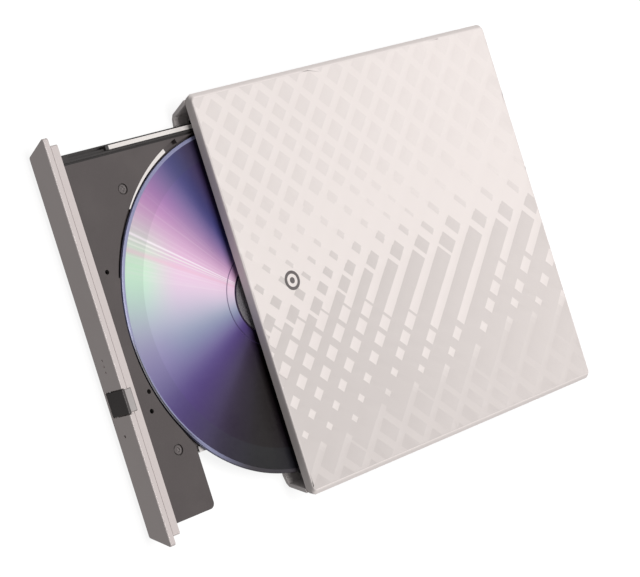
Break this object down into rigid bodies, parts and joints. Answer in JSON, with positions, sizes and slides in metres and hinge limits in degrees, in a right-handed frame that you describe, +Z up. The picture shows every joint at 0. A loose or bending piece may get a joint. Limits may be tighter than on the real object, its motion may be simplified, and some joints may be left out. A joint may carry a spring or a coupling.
{
  "type": "external optical disc drive",
  "caption": "Slim external optical disc drive in a white case with a diamond lattice top, its tray half open with a disc on the spindle.",
  "frame": {"origin": "under the middle of the whole object with its tray half open, on the surface that the feet stand on", "axes": "+X to the right as the front is faced from behind the tray, +Y from the tray towards the back, +Z up"},
  "size_m": [0.141, 0.214, 0.0146],
  "materials": {
    "white_plastic": "pearl white moulded plastic",
    "white_shell": "white moulded plastic, fine satin texture",
    "foot_rubber": "matt rubber",
    "screw_steel": "zinc plated",
    "black_screw": "black zinc plated",
    "board": "green solder mask",
    "chip": "moulded epoxy",
    "socket_metal": "nickel plated shell",
    "connector_plastic": "black moulded plastic",
    "housing_steel": "galvanised sheet steel",
    "rail_steel": "bright pressed steel",
    "guide_plastic": "black acetal",
    "tray_plastic": "dark warm grey, fine spark texture",
    "button_plastic": "charcoal",
    "light_pipe": "clear polycarbonate",
    "latch_plastic": "natural acetal",
    "copper": "enamelled winding",
    "frame_steel": "pressed steel",
    "damper_rubber": "soft rubber",
    "rod_steel": "ground steel",
    "optics_metal": "die cast",
    "lens_glass": "coated lens",
    "hub_metal": "turned",
    "disc": "polycarbonate over a reflective layer",
    "pad_white": "soft white pad"
  },
  "bodies": {
    "case": {"top_cover": "white_plastic", "bottom_cover": "white_shell", "rubber_feet": "foot_rubber", "case_screws": "black_screw", "bridge_board": "board", "bridge_chips": "chip", "usb_socket": "socket_metal", "board_screws": "screw_steel", "sata_socket": "connector_plastic", "lower_housing": "housing_steel", "upper_housing": "housing_steel", "housing_screws": "screw_steel", "left_guide": "guide_plastic", "right_guide": "guide_plastic", "drive_board": "board", "drive_chips": "chip", "drive_plug": "connector_plastic", "latch_post": "rod_steel", "ejector_spring": "screw_steel"},
    "ejector": {"ejector_rod": "latch_plastic"},
    "rails": {"left_rail": "rail_steel", "right_rail": "rail_steel", "rail_buffer": "guide_plastic"},
    "tray": {"tray": "tray_plastic", "rest_pad": "pad_white", "tray_plate": "frame_steel", "tray_screws": "black_screw", "front_bezel": "white_plastic", "light_pipe": "light_pipe", "switch_board": "board", "latch_solenoid": "copper", "traverse_frame": "frame_steel", "dampers": "damper_rubber", "guide_rods": "rod_steel", "sled_motor": "housing_steel", "motor_base": "frame_steel", "stator": "copper"},
    "button": {"eject_button": "button_plastic"},
    "latch": {"latch_lever": "latch_plastic"},
    "spindle": {"rotor": "hub_metal", "hub_balls": "rod_steel", "turntable_pad": "damper_rubber", "disc": "disc"},
    "sled": {"pickup": "optics_metal"},
    "lens": {"lens_holder": "connector_plastic", "lens": "lens_glass"},
    "lead_screw": {"lead_screw": "rod_steel"}
  },
  "joints": [
    {"name": "tray_slide", "type": "slide", "parent": "case", "child": "tray", "axis": [0, -1, 0], "range_m": [-0.0597, 0.0715]},
    {"name": "rail_slide", "type": "slide", "parent": "case", "child": "rails", "axis": [0, -1, 0], "range_m": [-0.0448, 0.0537]},
    {"name": "eject_press", "type": "slide", "parent": "tray", "child": "button", "axis": [0, 1, 0], "range_m": [0, 0.0007], "stiffness_N_per_m": 400},
    {"name": "latch_turn", "type": "hinge", "parent": "tray", "child": "latch", "pos_m": [0.054, -0.0961, 0.0057], "axis": [0, 0, 1], "range_deg": [-17, 0]},
    {"name": "spindle_spin", "type": "hinge", "parent": "tray", "child": "spindle", "pos_m": [0.0023, -0.0345, 0.006], "axis": [0, 0, 1], "continuous": true},
    {"name": "sled_slide", "type": "slide", "parent": "tray", "child": "sled", "axis": [-0.7071, -0.7071, 0], "range_m": [-0.004, 0.026]},
    {"name": "lens_focus", "type": "slide", "parent": "sled", "child": "lens", "axis": [0, 0, 1], "range_m": [-0.0003, 0.0002], "stiffness_N_per_m": 40},
    {"name": "lead_screw_turn", "type": "hinge", "parent": "tray", "child": "lead_screw", "pos_m": [-0.00689, -0.0748, 0.0057], "axis": [-0.7071, -0.7071, 0], "range_deg": [-490, 3130]},
    {"name": "ejector_push", "type": "slide", "parent": "case", "child": "ejector", "axis": [0, 1, 0], "range_m": [0, 0.008], "stiffness_N_per_m": 200}
  ],
  "couplings": [
    {"joint": "rail_slide", "follows": "tray_slide", "ratio": 0.75},
    {"joint": "lead_screw_turn", "follows": "sled_slide", "rad_per_m": 2094.4}
  ]
}
